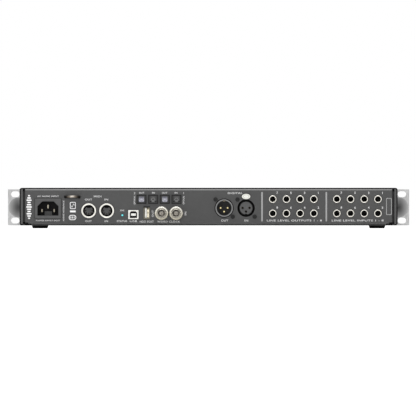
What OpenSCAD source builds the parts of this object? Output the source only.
// Rack-mount audio interface, one rack unit high, as an assembly of its real pieces.
// Frame: millimetres, +Z up, -Y is the front panel's side and +Y the connector side.
// The origin lies on the surface the feet stand on, under the middle of the whole unit.

/* [Rack front] */
// Width over both rack ears
rack_w = 482.6; // [482:0.1:483.4]
// Height of the front panel, one rack unit
panel_h = 43.6; // [43.2:0.1:44]
// Thickness of the front panel and of the ear plates
panel_t = 4; // [3.5:0.1:5]
// Distance between the rack slots across the unit
slot_dx = 465.1; // [464:0.1:466]
// Distance between the upper and the lower rack slots
slot_dz = 31.75; // [31.6:0.01:31.9]
// Length of a rack slot
slot_l = 10.3; // [9:0.1:11]
// Width of a rack slot
slot_w = 7; // [6.5:0.1:7]

/* [Case] */
// Width of the case between the ears
body_w = 436; // [432:1:438]
// Height of the case without its feet
body_h = 43.4; // [43:0.1:43.6]
// Depth from the rack mounting plane to the face of the rear panel
body_d = 228; // [220:1:260]
// Thickness of the cover sheet
cover_t = 1.4; // [1.2:0.1:1.6]
// Outer corner radius of the cover
cover_r = 2.6; // [2.2:0.1:3]
// Thickness of the base tray
tray_t = 1.6; // [1.4:0.1:2]
// Thickness of the rear panel sheet
rear_t = 1.5; // [1.2:0.1:1.6]
// Height of the rubber feet
foot_h = 3.3; // [3:0.1:4]

/* [Rear connectors] */
// How far the bayonet sockets stand out of the rear panel
bnc_out = 13; // [12:0.5:15]
// Bore of a quarter-inch jack socket
jack_bore = 6.4; // [6.35:0.05:6.5]
// Distance between neighbouring line jacks in a row
jack_dx = 15.8; // [15.4:0.1:16.2]
// Distance between the two rows of line jacks
jack_dz = 16.4; // [16:0.1:16.8]

/* [Front controls] */
// How far the gain knobs stand out of the rack mounting plane
knob_out = 16; // [15:0.5:18]
// Diameter of a gain knob
knob_d = 13; // [12:0.5:14]
// Distance between neighbouring microphone sockets
combo_dx = 31; // [30:0.5:32]

/* [Hidden] */
$fn = 48;

// Main planes
total_d = knob_out + body_d + bnc_out;
y_rack = knob_out - total_d / 2;      // rear face of the ears, which meets the rack
y_face = y_rack - panel_t;            // front face of the front panel
y_rear = y_rack + body_d;             // outer face of the rear panel
z_body = foot_h;                      // underside of the case
z_mid = foot_h + body_h / 2;          // middle of the case and of the front panel
z_tray = z_body + tray_t;             // upper face of the base tray
z_roof = z_body + body_h - cover_t;   // underside of the cover
gap = 0.05;                           // play between neighbouring solids
press = 0.1;                          // play round a part that slips through a hole

// Case sections, seen from the rear
rail_t = 2.4;                               // web of the side rails
rail_x = body_w / 2 - cover_t - rail_t;     // inner face of the web
rail_flange = 10;                           // how far the rail's flanges reach inwards
rail_back = 16;                             // flanges end this far before the rear panel
boss_t = 8;                                 // thick front end of a rail, for the ear's screws
boss_l = 34;
boss_h = 28;
panel_gap = 2.2;                            // open joint beside the rear panel
rear_w = 2 * (rail_x - panel_gap);          // width of the rear panel
bend_r = 2.2;                               // outer radius of the rear panel's folds
cover_back = 1.6;                           // the cover ends this far before the rear face
notches = [[7.7, 2.4], [3.9, 3.5]];         // open lower corners of the rear panel, in two steps

// Rack ears
ear_x = body_w / 2 - 2.4;                   // inner edge of the ear plate
leg_t = 2.5;                                // leg that lies along the side of the case
leg_l = 34;
leg_h = 36;
dish_x = 228.4;                             // middle of the round dish
dish_r = 11.6;                              // inner radius of the dish's sphere
dish_wall = 1.4;
dish_off = 3;                               // the sphere's centre lies behind the plate
ear_screw_at = [[10, 12], [10, -12], [27, 0]];

// Feet
foot_x = [200.9, 195.5];                    // front pair and rear pair, from the middle
foot_in = 22;                               // from the front and rear edges of the case
feet_at = [for (s = [-1, 1], e = [0, 1]) [s * foot_x[e], e ? y_rear - foot_in : y_rack + foot_in]];
foot_d = [18.4, 16];                        // upper and lower diameter

// Connector places: distance to the right of the middle, seen from the rear, and height
mains_at = [-185.2, 22.9];
loop_at = [-157.1, 36.1];
midi_at = [[-138.2, 20.3], [-117.5, 20.3]];
mode_at = [-99.4, 15.1];
usb_b_at = [-86.7, 15.8];
usb_a_at = [-71.3, 17.9];
bnc_at = [[-54.3, 17.4], [-37.5, 17.4]];
optical_at = [for (i = [0:3]) [-77.4 + 13.45 * i, 33.4]];
xlr_male_at = [17.9, 23.3];
xlr_female_at = [43.2, 23.3];
latch_at = [43.2, 36.7];
outputs_at = [for (i = [0:3], k = [0, 1]) [73.9 + jack_dx * i, 17.2 + jack_dz * k]];
inputs_at = [for (i = [0:3], k = [0, 1]) [147.8 + jack_dx * i, 17.2 + jack_dz * k]];
line_jacks_at = concat(outputs_at, inputs_at);

// Front places: distance to the right of the middle, seen from the front, and height
combo_z = z_mid - 1.8;
combos_at = [for (i = [0:3]) [-178 + combo_dx * i, combo_z]];
combo_latch_z = z_mid + 13.6;
knobs_at = [for (i = [0:3]) [-54 + 22 * i, z_mid]];
leds_at = [for (i = [0:5], k = [-1, 1]) [40 + 9 * i, z_mid + 5.5 * k]];
phones_at = [for (i = [0, 1]) [116 + 27 * i, z_mid]];
power_at = [184, z_mid];
panel_screws_at = [for (s = [-1, 1], k = [-1, 1]) [s * (rail_x - 4), z_mid + k * 9]];
pocket = 0.5;                               // depth of the field the controls stand in

// Small standard sizes
xlr_screw = 9.9;       // half the distance between the screws of a microphone socket
blade = [4, 2];
bnc_barrel = 9.7;
inlet_bezel = [31.1, 23.9];
inlet_body = [27, 19.4];
inlet_depth = 13;
jack_depth = 30;       // length of a jack's plastic body
combo_depth = 26;      // how far the microphone sockets reach behind the front face
flap = [8, 7.7, 0.8];  // shutter of an optical socket
flap_axis = [3.5, -0.7];
board_t = 1.6;
board_z = z_tray + 3;  // underside of the boards
front_board_z = combo_depth + 0.8;

// ---- Placing and outlines --------------------------------------------------------------

// Local x runs to the right, y up and z out towards someone who looks at the rear panel.
module at_rear(p, out = 0) translate([-p[0], y_rear + out, p[1]]) rotate([90, 0, 180]) children();

// The same for someone who looks at the front panel.
module at_front(p, out = 0) translate([p[0], y_face - out, p[1]]) rotate([90, 0, 0]) children();

// Extrudes an outline drawn in X and Z along Y, from y0 to y1.
module along_y(y0, y1) translate([0, y1, 0]) rotate([90, 0, 0]) linear_extrude(y1 - y0) children();

module round_rect(w, h, r) {
  square([w - 2 * r, h], center = true);
  square([w, h - 2 * r], center = true);
  for (x = [-1, 1], y = [-1, 1]) translate([x * (w / 2 - r), y * (h / 2 - r)]) circle(r);
}

module stadium(w, h) {
  square([w - h, h], center = true);
  for (s = [-1, 1]) translate([s * (w - h) / 2, 0]) circle(d = h);
}

// A block whose local z runs from z0 to z1.
module slab(w, h, z0, z1) translate([-w / 2, -h / 2, z0]) cube([w, h, z1 - z0]);

module plate(w, h, r, z0, z1) translate([0, 0, z0]) linear_extrude(z1 - z0) round_rect(w, h, r);

module rod(r, z0, z1) translate([0, 0, z0]) cylinder(r = r, h = z1 - z0);

module tube(ro, ri, z0, z1) {
  difference() {
    rod(ro, z0, z1);
    rod(ri, z0 - 1, z1 + 1);
  }
}

// A countersunk screw (over = 0) or the hole for one: mouth at z = 0, body below it.
module countersink(r_head, r_body, depth, over = 0) {
  rotate_extrude() polygon(concat(
    [[0, -depth], [r_body, -depth], [r_body, r_body - r_head], [r_head, 0]],
    over > 0 ? [[r_head, over]] : [], [[0, over]]));
}

// ---- Case ------------------------------------------------------------------------------

vent_y = [for (i = [0:11]) y_rack + 70 + 9 * i];
cover_screw_y = [y_rack + 56, y_rack + 190];
top_screw_x = [-150, 0, 150];

// Ventilation slots through both sides.
module side_vents() {
  for (y = vent_y) translate([0, y, z_mid]) rotate([90, 0, 90])
    linear_extrude(body_w + 10, center = true) rotate(90) stadium(18, 2.6);
}

// A place on the left (-1) or right (1) side of the case; local z points out of the side.
module on_side(s, y, z, out = 0) {
  translate([s * (body_w / 2 + out), y, z]) rotate([0, s * 90, 0]) children();
}

// Clearance holes for the screws of the ears and of the cover.
module side_screw_holes(s) {
  for (p = ear_screw_at) on_side(s, y_rack + p[0], z_mid + p[1]) rod(2.2, -12, 1);
  for (y = cover_screw_y, k = [-1, 1]) on_side(s, y, z_mid + 14 * k) rod(1.6, -12, 1);
}

module base_tray() {
  color([0.13, 0.13, 0.14]) difference() {
    translate([-rail_x + 0.2, y_rack + gap, z_body])
      cube([2 * rail_x - 0.4, body_d - gap, tray_t]);
    for (s = [-1, 1]) translate([s * (rear_w - notches[0][0]) / 2, y_rear, z_body])
      cube([notches[0][0], 20, 10], center = true);
    for (p = feet_at) translate([p[0], p[1], z_body]) rod(1.7, -1, tray_t + 1);
    for (x = [-150, 150], i = [0:7]) translate([x + 7 * (i - 3.5), 0, z_body - 1])
      linear_extrude(tray_t + 2) rotate(90) stadium(26, 2.6);
  }
}

// The cover is one sheet folded over the top and both sides, with narrow lips under the base.
module cover_outline() {
  difference() {
    round_rect(body_w, body_h, cover_r);
    round_rect(body_w - 2 * cover_t, body_h - 2 * cover_t, cover_r - cover_t);
    translate([0, -body_h / 2]) square([2 * rail_x, 4 * cover_t], center = true);
  }
}

module top_cover() {
  color([0.07, 0.07, 0.075]) difference() {
    along_y(y_rack + gap, y_rear - cover_back) translate([0, z_mid]) cover_outline();
    side_vents();
    for (s = [-1, 1]) side_screw_holes(s);
    for (x = top_screw_x) translate([x, y_rear - 8, z_roof + cover_t])
      countersink(2.9, 1.6, 4, 0.5);
  }
}

// Web with rounded edges, two flanges and a thick front end that takes the ear's screws.
module side_rail(s) {
  color([0.34, 0.34, 0.35]) difference() {
    union() {
      along_y(y_rack + gap, y_rear - cover_back) translate([0, z_mid]) intersection() {
        round_rect(body_w - 2 * cover_t - 2 * gap, body_h - 2 * cover_t - 2 * gap, cover_r - cover_t);
        translate([s * (rail_x + 5), 0]) square([10, body_h], center = true);
      }
      for (z = [z_tray + gap, z_roof - 2 - gap])
        translate([min(s * rail_x, s * (rail_x - rail_flange)) - 0.1, y_rack + gap, z])
          cube([rail_flange + 0.2, body_d - rail_back, 2]);
      translate([s * (rail_x - boss_t / 2 + 0.1), y_rack + gap + boss_l / 2, z_mid])
        cube([boss_t + 0.2, boss_l, boss_h], center = true);
    }
    side_vents();
    side_screw_holes(s);
    for (p = panel_screws_at) at_front(p) rod(1.35, -panel_t - 7.4, 0);
  }
}

module side_rail_left() side_rail(-1);
module side_rail_right() side_rail(1);

// Section of the rear panel: a face with a fold at the top and at the bottom.
module rear_section() {
  face = [y_rear, z_tray + gap, z_roof - gap];
  fold = 12;
  translate([face[0] - rear_t, face[1] + bend_r]) square([rear_t, face[2] - face[1] - 2 * bend_r]);
  for (k = [0, 1]) translate([face[0] - bend_r, k ? face[2] - bend_r : face[1] + bend_r]) {
    difference() {
      circle(bend_r);
      circle(bend_r - rear_t);
      translate([-3 * bend_r, -2 * bend_r]) square([3 * bend_r, 4 * bend_r]);
      translate([-bend_r, k ? -2 * bend_r : 0]) square([3 * bend_r, 2 * bend_r]);
    }
    translate([-fold, k ? bend_r - rear_t : -bend_r]) square([fold + 0.01, rear_t]);
  }
}

// The openings of the rear panel, one for each connector.
module rear_cuts() {
  at_rear(mains_at) slab(27.6, 20, -4, 2);
  for (k = [-1, 1]) at_rear(loop_at + [8 * k, 0]) rod(1.6, -4, 2);
  for (p = midi_at) at_rear(p) rod(7.6, -4, 2);
  at_rear(mode_at) rod(1.65, -4, 2);
  at_rear(usb_b_at) slab(12.7, 11.3, -4, 2);
  at_rear(usb_a_at) slab(7.6, 14.8, -4, 2);
  for (p = bnc_at) at_rear(p) rod(6.4, -4, 2);
  for (p = optical_at) at_rear(p) slab(10.2, 10.2, -4, 2);
  at_rear(xlr_male_at) rod(10.2, -4, 2);
  at_rear(xlr_female_at) rod(9.35, -4, 2);
  at_rear(latch_at) translate([0, 0, -4]) linear_extrude(6) stadium(10.7, 6.8);
  for (c = [xlr_male_at, xlr_female_at], k = [-1, 1])
    at_rear(c + [xlr_screw * k, -xlr_screw * k]) rod(1.6, -4, 2);
  for (p = line_jacks_at) at_rear(p) rod(4.65, -4, 2);
}

module rear_panel() {
  color([0.31, 0.31, 0.315]) difference() {
    union() {
      translate([-rear_w / 2, 0, 0]) rotate([90, 0, 90]) linear_extrude(rear_w) rear_section();
      for (s = [-1, 1]) translate([s * (rear_w - rear_t) / 2, y_rear - 5.5, z_mid])
        cube([rear_t, 9, body_h - 12], center = true);
    }
    rear_cuts();
    for (s = [-1, 1], n = notches)
      translate([s * (rear_w - n[0]) / 2, y_rear, z_body + n[1] / 2])
        cube([n[0] + 0.02, 40, n[1]], center = true);
    for (x = top_screw_x) translate([x, y_rear - 8, z_roof]) rod(1.6, -3, 1);
  }
}

// ---- Front panel and rack ears ---------------------------------------------------------

module front_panel() {
  color([0.16, 0.17, 0.19]) difference() {
    at_front([0, z_mid]) plate(2 * ear_x - 0.4, panel_h, 0.8, -panel_t, 0);
    at_front([0, z_mid]) plate(2 * ear_x - 34, panel_h - 7, 3, -pocket, 1);
    for (p = combos_at) at_front(p) rod(12.05, -panel_t - 1, 1);
    for (p = combos_at) at_front([p[0], combo_latch_z])
      translate([0, 0, -panel_t - 1]) linear_extrude(panel_t + 2) stadium(8.6, 4.6);
    for (p = knobs_at) at_front(p) rod(4.1, -panel_t - 1, 1);
    for (p = leds_at) at_front(p) rod(1.3, -panel_t - 1, 1);
    for (p = phones_at) at_front(p) rod(5.6, -panel_t - 1, 1);
    at_front(power_at) slab(13.2, 20.2, -panel_t - 1, 1);
    for (p = panel_screws_at) at_front(p) countersink(3, 1.6, panel_t + 1, 0.5);
  }
}

// The dish is open towards the rear and bulges out of the front of the ear.
module dish(r, reach) {
  rotate_extrude() intersection() {
    translate([0, -dish_off]) circle(r, $fn = 64);
    square([reach, reach]);
  }
}

// The right-hand ear, seen from the front.
module rack_ear() {
  color([0.76, 0.76, 0.77]) difference() {
    union() {
      translate([ear_x, y_face, z_mid - panel_h / 2]) cube([rack_w / 2 - ear_x, panel_t, panel_h]);
      difference() {
        translate([body_w / 2 + gap, y_rack - 1, z_mid - leg_h / 2]) cube([leg_t, leg_l + 1, leg_h]);
        translate([body_w / 2, y_rack, z_mid]) rotate([90, 0, 90]) linear_extrude(leg_t + 1)
          stadium(34, 13.4);
      }
      translate([dish_x, y_rack, z_mid]) rotate([90, 0, 0]) dish(dish_r + dish_wall, 20);
    }
    translate([dish_x, y_rack, z_mid]) rotate([90, 0, 0]) dish(dish_r, 20);
    for (k = [-1, 1]) translate([slot_dx / 2, y_rack, z_mid + k * slot_dz / 2])
      rotate([90, 0, 0]) translate([0, 0, -1]) linear_extrude(panel_t + 12) stadium(slot_l, slot_w);
    for (p = ear_screw_at) on_side(1, y_rack + p[0], z_mid + p[1], gap + leg_t)
      countersink(4.1, 2.2, 6, 0.5);
  }
}

module rack_ear_right() rack_ear();
module rack_ear_left() mirror([1, 0, 0]) rack_ear();

// ---- Feet and fasteners ----------------------------------------------------------------

module at_feet() for (p = feet_at) translate([p[0], p[1], 0]) children();

module feet() {
  color([0.09, 0.09, 0.09]) at_feet() difference() {
    cylinder(d1 = foot_d[1], d2 = foot_d[0], h = foot_h - gap);
    rod(3.6, -1, 1.6);
    rod(1.7, -1, foot_h + 1);
  }
}

module foot_screws() {
  color([0.2, 0.2, 0.2]) at_feet() difference() {
    union() {
      rod(3.1, 0.5, 1.55);
      rod(1.5, 1, z_tray + 2.2);
      rod(2.9, z_tray + gap, z_tray + 2);
    }
    for (a = [0, 90]) rotate(a) slab(3.4, 0.7, 0, 1.2);
  }
}

// Hexagonal recess for a key, cut down from the top of a screw's head.
module key_recess(r, top, deep) translate([0, 0, top - deep]) cylinder(r = r, h = deep + 1, $fn = 6);

// Screws of the cover, with round heads at the sides, and of the front panel.
module case_screws() {
  color([0.12, 0.12, 0.12]) {
    for (s = [-1, 1], y = cover_screw_y, k = [-1, 1]) on_side(s, y, z_mid + 14 * k) difference() {
      union() {
        rod(2.8, gap, 1.2);
        rod(1.5, -8, 0.5);
      }
      key_recess(1.2, 1.2, 0.9);
    }
    for (x = top_screw_x) translate([x, y_rear - 8, z_roof + cover_t]) difference() {
      countersink(2.8, 1.5, 5);
      key_recess(1.2, 0, 0.9);
    }
    for (p = panel_screws_at) at_front(p) difference() {
      countersink(2.9, 1.3, panel_t + 6);
      key_recess(1.1, 0, 1);
    }
  }
}

module ear_screws() {
  color([0.12, 0.12, 0.12]) for (s = [-1, 1], p = ear_screw_at)
    on_side(s, y_rack + p[0], z_mid + p[1], gap + leg_t)
      difference() {
        countersink(4, 2, 12);
        key_recess(1.4, 0, 1.5);
      }
}

// ---- Mains inlet and cable loop --------------------------------------------------------

// Outline of the mains socket: a rectangle with two cut upper corners.
module inlet_outline(w, h, cut) {
  polygon([[-w / 2, -h / 2], [w / 2, -h / 2], [w / 2, h / 2 - cut], [w / 2 - cut, h / 2],
           [cut - w / 2, h / 2], [-w / 2, h / 2 - cut]]);
}

blades_at = [[-7, -2.4], [7, -2.4], [0, 2.2]];

module mains_inlet() {
  color([0.38, 0.38, 0.385]) at_rear(mains_at) {
    difference() {
      union() {
        plate(inlet_bezel[0], inlet_bezel[1], 1, gap, 1);
        slab(inlet_body[0], inlet_body[1], -inlet_depth - 3, 0.5);
      }
      translate([0, 0, -inlet_depth]) linear_extrude(inlet_depth + 2) inlet_outline(24.2, 16.4, 5.5);
      for (p = blades_at) translate(p)
        slab(blade[1] + press, blade[0] + press, -inlet_depth - 4, 0);
    }
    translate([0, -5.6, 0]) slab(8.6, 5, -inlet_depth - 0.5, 1.6 - inlet_depth);
  }
}

module mains_blades() {
  color([0.75, 0.72, 0.62]) at_rear(mains_at) for (p = blades_at) translate(p) {
    slab(blade[1], blade[0], -inlet_depth - 8, p[0] == 0 ? -2 : -3.5);
    slab(0.8, 4.8, -inlet_depth - 13, -inlet_depth - 7);
  }
}

// A bent rod that a cable tie goes through, held by a nut on each leg.
module cable_loop() {
  color([0.72, 0.68, 0.62]) at_rear(loop_at) {
    rotate([90, 0, 0]) rotate_extrude(angle = 180) translate([8, 0]) circle(1.5, $fn = 32);
    for (s = [-1, 1]) translate([8 * s, 0, 0]) {
      rod(1.5, -6, 0.01);
      rod(2.8, -4, -rear_t - gap);
    }
  }
}

// ---- Round and square signal sockets ---------------------------------------------------

module midi_rings() {
  color([0.85, 0.85, 0.82]) for (p = midi_at) at_rear(p) rotate_extrude() polygon([
    [6.7, -10], [7.5, -10], [7.5, gap], [8.75, gap], [8.75, 0.9], [8.4, 1.3], [7.1, 1.3], [6.7, 0.9]
  ]);
}

// Pin places of a five-pole socket: a half circle under the middle.
pins_of_din = [for (i = [0:4]) 3.75 * [cos(180 + 45 * i), sin(180 + 45 * i)]];

module midi_inserts() {
  color([0.2, 0.2, 0.21]) for (p = midi_at) at_rear(p) difference() {
    union() {
      rod(5.4, -10, -1);
      rod(6.7 - gap, -12, -9.2);
    }
    for (q = pins_of_din) translate(q) rod(0.95, -9, 1);
    translate([0, 5.4, 0]) slab(4.6, 4.4, -9.2, 1);
  }
}

module usb_b_shell() {
  color([0.86, 0.86, 0.85]) at_rear(usb_b_at) difference() {
    plate(12.4, 11, 0.6, -15, 0.9);
    translate([0, 0, -14]) linear_extrude(16) inlet_outline(8.5, 7.8, 1.7);
    slab(5.9, 3.5, -16, -13);
  }
}

module usb_a_shell() {
  color([0.8, 0.76, 0.66]) at_rear(usb_a_at) difference() {
    plate(7.3, 14.5, 0.5, -13, 1.1);
    slab(5.3, 12.5, -12, 2);
    translate([-1.1, 0, 0]) slab(2, 11.5, -14, -11);
  }
}

module usb_tongues() {
  color([0.9, 0.9, 0.88]) {
    at_rear(usb_b_at) slab(5.8, 3.4, -18, -1.6);
    at_rear(usb_a_at) translate([-1.1, 0, 0]) slab(1.9, 11.2, -16, -0.8);
  }
}

// Threaded body with a nut, a barrel and two bayonet lugs.
module bnc_socket(p) {
  color([0.78, 0.76, 0.68]) at_rear(p) {
    rotate_extrude() polygon([
      [4.05, -9], [6.3, -9], [6.3, gap], [7.8, gap], [7.8, 1.6], [7.3, 2.2], [5.6, 2.2],
      [5.6, 3.4], [bnc_barrel / 2, 3.8], [bnc_barrel / 2, bnc_out - 0.4],
      [bnc_barrel / 2 - 0.4, bnc_out], [4.3, bnc_out], [4.05, bnc_out - 0.25]
    ]);
    for (s = [-1, 1]) translate([0, 0, bnc_out - 4.6]) rotate([0, 90 * s, 0]) rod(1, 4.5, 5.6);
  }
}

module bnc_out_socket() bnc_socket(bnc_at[0]);
module bnc_in_socket() bnc_socket(bnc_at[1]);

module bnc_insulators() {
  color([0.88, 0.87, 0.83]) for (p = bnc_at) at_rear(p) {
    rotate_extrude() polygon([
      [0.5, -9.4], [4, -9.4], [4, 1.5], [2.4, 1.5], [2.4, bnc_out - 5.5], [1.15, bnc_out - 5.5],
      [1.15, bnc_out - 4.4], [0.5, bnc_out - 4.4]
    ]);
  }
}

// ---- Optical sockets with sprung shutters ----------------------------------------------

module optical_housings() {
  color([0.14, 0.14, 0.145]) for (p = optical_at) at_rear(p) difference() {
    union() {
      slab(11.4, 10.4, gap, 0.8);
      slab(9.8, 9.8, -14, 0.1);
    }
    slab(8.5, 8.4, -12, 0);
    translate([0, -0.3, 0]) slab(7.4, 6.8, -1, 2);
    rod(1.6, -15, -11);
    translate([0, flap_axis[0], flap_axis[1]]) rotate([0, 90, 0])
      cylinder(r = 0.5, h = 9.2, center = true);
  }
}

// A flap that hangs behind the frame on two small trunnions.
module optical_shutter(i) {
  lit = i % 2 == 0;
  color(lit ? [0.66, 0.68, 0.75] : [0.19, 0.19, 0.195]) at_rear(optical_at[i]) {
    translate([0, 3.8 - flap[1] / 2, 0]) slab(flap[0], flap[1], flap_axis[1] - flap[2] / 2,
                                               flap_axis[1] + flap[2] / 2);
    translate([0, flap_axis[0], flap_axis[1]]) rotate([0, 90, 0])
      cylinder(r = 0.42, h = 9, center = true);
  }
}

module optical_shutter_1() optical_shutter(0);
module optical_shutter_2() optical_shutter(1);
module optical_shutter_3() optical_shutter(2);
module optical_shutter_4() optical_shutter(3);

// ---- Three-pole microphone-type sockets ------------------------------------------------

// Flange behind the panel, with the two holes of its screws.
module xlr_flange(r, screw_r) {
  difference() {
    plate(25, 28, 2, -rear_t - 1.8, -rear_t - gap);
    rod(r, -5, 1);
    for (k = [-1, 1]) translate([xlr_screw * k, -xlr_screw * k, 0]) rod(screw_r, -5, 1);
  }
}

module xlr_male_shell() {
  color([0.36, 0.36, 0.37]) at_rear(xlr_male_at) {
    difference() {
      tube(10.1, 8.45, -15, 1.5);
      translate([0, 8.6, 0]) slab(3, 0.9, -2, 2);
    }
    xlr_flange(10.1 - 0.05, 1.25);
  }
}

xlr_pins_at = [[-4, 0.25], [4, 0.25], [0, -4]];

module xlr_male_pins() {
  color([0.83, 0.69, 0.36]) at_rear(xlr_male_at) for (q = xlr_pins_at) translate(q) {
    rod(1.15, -16, -1.2);
    rod(0.6, -19, -15.5);
  }
}

module xlr_female_shell() {
  color([0.08, 0.08, 0.08]) at_rear(xlr_female_at) {
    tube(9.25, 8.6, -15, 0.3);
    difference() {
      xlr_flange(9.2, 1.25);
      translate([0, latch_at[1] - xlr_female_at[1], -4]) linear_extrude(5) stadium(11.4, 7.8);
    }
  }
}

// The insulating block of each socket: a base for the pins, and a block with three sockets.
module xlr_inserts() {
  color([0.22, 0.22, 0.23]) {
    at_rear(xlr_male_at) difference() {
      rod(8.4, -14.8, -12);
      for (q = xlr_pins_at) translate(q) rod(1.2, -16, -11);
    }
    at_rear(xlr_female_at) difference() {
      union() {
        rod(7.35, -14, -0.8);
        rod(8.55, -15, -13);
      }
      for (q = xlr_pins_at) translate(q) rod(1.35, -13, 1);
      translate([0, -7.35, 0]) slab(1.8, 1.6, -13, 1);
    }
  }
}

module xlr_latch() {
  color([0.92, 0.92, 0.9]) at_rear(latch_at) {
    translate([0, 0, -2.9]) linear_extrude(4.3) stadium(10.1, 6.2);
    translate([0, 0, 1.2]) linear_extrude(0.7) stadium(8.6, 4.7);
    translate([0, 0, -2.9]) linear_extrude(1.2) stadium(11.2, 7.2);
  }
}

module xlr_screws() {
  color([0.05, 0.05, 0.05]) for (c = [xlr_male_at, xlr_female_at], k = [-1, 1])
    at_rear(c + [xlr_screw * k, -xlr_screw * k]) difference() {
      union() {
        rod(2.5, gap, 1.1);
        rod(1.2, -5, 0.5);
      }
      for (a = [0, 90]) rotate(a) slab(2.6, 0.6, 0.5, 2);
    }
}

// ---- Quarter-inch jacks ----------------------------------------------------------------

// The plastic body behind the panel, with the cavity that the plug's tip reaches into.
module jack_body(back) {
  difference() {
    slab(14.6, 14.6, back - jack_depth, back);
    rod(jack_bore / 2 + 0.15, back - jack_depth + 1.5, back + 1);
    rod(4.7, back - 7, back + 1);
  }
}

module jack_bodies() {
  color([0.1, 0.1, 0.1]) {
    for (p = line_jacks_at) at_rear(p) jack_body(-2);
    for (p = phones_at) at_front(p) jack_body(-panel_t - 0.5);
  }
}

// A metal nose: seen from outside it is a ring round the bore.
module jack_nose(r_out, out, back) {
  r = jack_bore / 2;
  rotate_extrude() polygon([
    [r, back], [4.55, back], [4.55, -2], [r_out, -2], [r_out, out - 0.45], [r_out - 0.45, out],
    [r + 0.35, out], [r, out - 0.35]
  ]);
}

module jack_noses() {
  color([0.8, 0.79, 0.74]) {
    for (p = line_jacks_at) at_rear(p) jack_nose(4.56, 1, -8.5);
    for (p = phones_at) at_front(p) {
      jack_nose(5.5, 2.2, -panel_t - 6);
      tube(7.2, 5.4, gap - pocket, 1.4);
    }
  }
}

module mode_button() {
  color([0.45, 0.95, 0.95]) at_rear(mode_at) {
    rod(1.5, -6, 0.9);
    rod(2.3, -3.2, -rear_t - 0.2);
  }
}

// ---- Front sockets and controls --------------------------------------------------------

module combo_shells() {
  color([0.08, 0.08, 0.08]) for (p = combos_at) at_front(p) {
    rotate_extrude() polygon([
      [9.4, -combo_depth], [11.9, -combo_depth], [11.9, 0.4], [11.4, 0.9], [9.9, 0.9], [9.4, 0.3]
    ]);
    difference() {
      plate(25, 24.6, 2, -panel_t - 1.8, -panel_t - gap);
      rod(11, -panel_t - 3, 0);
    }
  }
}

combo_pins_at = [for (a = [30, 150, 270]) 5.3 * [cos(a), sin(a)]];

module combo_inserts() {
  color([0.12, 0.12, 0.125]) for (p = combos_at) at_front(p) difference() {
    union() {
      rod(7.4, -combo_depth, -1);
      rod(9.35, -combo_depth, 3 - combo_depth);
    }
    rod(jack_bore / 2, 1 - combo_depth, 0);
    for (q = combo_pins_at) translate(q) rod(1.35, -16, 0);
  }
}

module combo_latch(i) {
  color([0.55, 0.55, 0.56]) at_front([combos_at[i][0], combo_latch_z]) {
    translate([0, 0, -panel_t - 1]) linear_extrude(panel_t + 2.4) stadium(8, 4);
    translate([0, 0, -panel_t - 1.2]) linear_extrude(1) stadium(9.6, 5.2);
  }
}

module combo_latch_1() combo_latch(0);
module combo_latch_2() combo_latch(1);
module combo_latch_3() combo_latch(2);
module combo_latch_4() combo_latch(3);

// A fluted cap pushed on to the shaft of its potentiometer, with a groove as its pointer.
module gain_knob(i) {
  top = knob_out - panel_t;
  skirt = 2.2;
  grip = knob_d / 2 - 0.4;
  flutes = 24;
  at_front(knobs_at[i]) {
    color([0.7, 0.7, 0.71]) difference() {
      union() {
        rod(knob_d / 2, 0.8, skirt);
        difference() {
          rod(grip, skirt - 0.5, top);
          for (a = [0:flutes - 1]) rotate(360 / flutes * (a + 0.5)) translate([grip + 0.2, 0, 0])
            rod(0.6, skirt, top + 1);
        }
      }
      rod(3, 0, top - 2);
      translate([0, knob_d / 4, 0]) slab(0.8, knob_d / 2 + 1, top - 0.4, top + 1);
    }
    color([0.6, 0.6, 0.6]) rod(3, -panel_t - 9, top - 1.5);
  }
}

module gain_knob_1() gain_knob(0);
module gain_knob_2() gain_knob(1);
module gain_knob_3() gain_knob(2);
module gain_knob_4() gain_knob(3);

module gain_pots() {
  color([0.4, 0.42, 0.4]) for (p = knobs_at) at_front(p) difference() {
    union() {
      rod(4, -panel_t - 6, -0.5);
      slab(14, 15, -panel_t - 12, -panel_t - 1);
    }
    rod(3.08, -panel_t - 10, 1);
  }
}

// Bezel and box of the power switch. The rocker turns on two pins in its side walls.
rocker_axis = -3.5;
rocker_tilt = 9;

module power_switch() {
  color([0.06, 0.06, 0.06]) at_front(power_at) difference() {
    union() {
      plate(15, 22, 1.2, gap - pocket, 1.2);
      slab(13, 20, -panel_t - 14, 0.2);
    }
    slab(10.2, 17, -panel_t - 10, 3);
    translate([0, 0, rocker_axis]) rotate([0, 90, 0]) cylinder(r = 1.06, h = 12.4, center = true);
  }
}

module power_rocker() {
  color([0.1, 0.1, 0.1]) at_front(power_at) translate([0, 0, rocker_axis]) rotate([-rocker_tilt, 0, 0]) {
    rotate([90, 0, 90]) linear_extrude(9.8, center = true)
      polygon([[-3.5, -3], [3.5, -3], [7.7, 4.1], [7.5, 4.6], [0, 3.8], [-7.5, 4.6], [-7.7, 4.1]]);
    rotate([0, 90, 0]) cylinder(r = 1, h = 12, center = true);
  }
}

module status_leds() {
  color([0.75, 0.95, 0.75]) for (p = leds_at) at_front(p) rotate_extrude() polygon([
    [0, -panel_t - 6], [1.2, -panel_t - 6], [1.2, 0.1], [0.9, 0.4], [0, 0.5]
  ]);
}

// ---- Boards and power supply -----------------------------------------------------------

main_board_box = [[-200, -70], [104, y_rear - 6]];
psu_board_box = [[112, -36], [203, y_rear - 36]];

standoffs_at = [for (b = [main_board_box, psu_board_box], i = [0, 1], k = [0, 1])
  [b[i][0] + (i ? -6 : 6), k ? min(b[1][1] - 6, y_rear - 38) : b[0][1] + 6]];

module board(b) {
  difference() {
    translate([b[0][0], b[0][1], board_z]) cube([b[1][0] - b[0][0], b[1][1] - b[0][1], board_t]);
    for (p = standoffs_at) translate(p) rod(1.6, board_z - 1, board_z + board_t + 1);
  }
}

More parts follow.
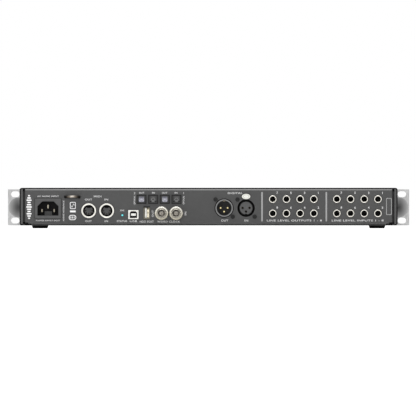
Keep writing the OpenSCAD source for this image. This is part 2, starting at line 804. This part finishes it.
module main_board() color([0.05, 0.25, 0.12]) board(main_board_box);
module psu_board() color([0.5, 0.42, 0.2]) board(psu_board_box);

// Hexagonal spacers under the boards, each with its screw.
module board_standoffs() {
  color([0.75, 0.65, 0.35]) for (p = standoffs_at) translate([p[0], p[1], 0]) {
    translate([0, 0, z_tray + gap]) cylinder(r = 3.2, h = board_z - z_tray - 2 * gap, $fn = 6);
    rod(1.4, z_tray + 1, board_z + board_t + 1);
    rod(2.7, board_z + board_t + gap, board_z + board_t + 1.8);
  }
}

// Converters, processor, memory, crystals and filter capacitors on the main board.
module board_parts() {
  z = board_z + board_t + gap;
  color([0.08, 0.08, 0.09]) {
    translate([-40, -20, z]) cube([27, 27, 2.2]);
    translate([20, -16, z]) cube([20, 20, 1.6]);
    translate([-90, 10, z]) cube([14, 20, 1.6]);
    for (i = [0:3]) translate([-190 + 16 * i, 30, z]) cube([7, 10, 1.6]);
    for (i = [0:3]) translate([-116 + 16 * i, 42, z]) cube([7, 10, 1.6]);
    for (i = [0:7]) translate([-190 + 15.8 * i, 56, z]) cube([9, 14, 3.5]);
  }
  color([0.16, 0.2, 0.3]) {
    for (i = [0:9]) translate([-190 + 15 * i, 5, z]) rod(3.2, 0, 8);
    for (i = [0:3]) translate([60 + 10 * i, -50, z]) rod(4, 0, 12);
  }
}

module psu_transformer() {
  z = board_z + board_t + gap;
  color([0.8, 0.65, 0.2]) translate([160, 8, z]) {
    translate([-16, -14, 0]) cube([32, 28, 4]);
    translate([-11, -14, 3.9]) cube([22, 28, 14]);
    translate([-16, -8, 3.9]) cube([32, 16, 14]);
    translate([-16, -14, 17.8]) cube([32, 28, 4]);
  }
}

module psu_capacitors() {
  z = board_z + board_t + gap;
  color([0.1, 0.12, 0.2]) {
    for (i = [0, 1]) translate([130, -14 + 24 * i, z]) rod(9, 0, 30);
    for (i = [0:2]) translate([190, -26 + 14 * i, z]) rod(5, 0, 20);
  }
  color([0.8, 0.75, 0.3]) translate([170, 50, z]) cube([18, 10, 15]);
}

// A finned heat sink that stands on the power supply board.
module psu_heatsink() {
  z = board_z + board_t + gap;
  color([0.6, 0.6, 0.62]) translate([122, 34, z]) {
    cube([36, 2.5, 26]);
    for (i = [0:8]) translate([4.2 * i, 0, 0]) cube([1.6, 12, 26]);
  }
}

module front_board() {
  color([0.05, 0.25, 0.12]) at_front([-48, z_mid + 1])
    slab(304, 32, -front_board_z - board_t, -front_board_z);
}

// Flat cable from the front board to the main board.
module ribbon_cable() {
  y0 = y_face + front_board_z + board_t + gap;
  z0 = board_z + board_t + 2;
  color([0.6, 0.6, 0.62]) translate([-30, 0, 0]) rotate([90, 0, 90]) linear_extrude(40) polygon([
    [y0, z0 + 6], [y0 + 8, z0 + 6], [y0 + 16, z0], [-60, z0], [-60, z0 - 1.9], [-50, z0 - 1.9],
    [-50, z0 + 2], [-60, z0 + 2], [-60, z0 + 1], [y0 + 16.4, z0 + 1], [y0 + 8.4, z0 + 7], [y0, z0 + 7]
  ]);
}

// ---- Choice of node --------------------------------------------------------------------

base_tray();
rear_panel();
top_cover();
side_rail_left();
side_rail_right();
front_panel();
rack_ear_left();
rack_ear_right();
feet();
foot_screws();
case_screws();
ear_screws();
board_standoffs();
mains_inlet();
mains_blades();
cable_loop();
midi_rings();
midi_inserts();
usb_b_shell();
usb_a_shell();
usb_tongues();
bnc_out_socket();
bnc_in_socket();
bnc_insulators();
optical_housings();
optical_shutter_1();
optical_shutter_2();
optical_shutter_3();
optical_shutter_4();
xlr_male_shell();
xlr_male_pins();
xlr_female_shell();
xlr_inserts();
xlr_latch();
xlr_screws();
jack_bodies();
jack_noses();
mode_button();
combo_shells();
combo_inserts();
combo_latch_1();
combo_latch_2();
combo_latch_3();
combo_latch_4();
gain_knob_1();
gain_knob_2();
gain_knob_3();
gain_knob_4();
gain_pots();
power_switch();
power_rocker();
status_leds();
main_board();
board_parts();
psu_board();
psu_transformer();
psu_capacitors();
psu_heatsink();
front_board();
ribbon_cable();
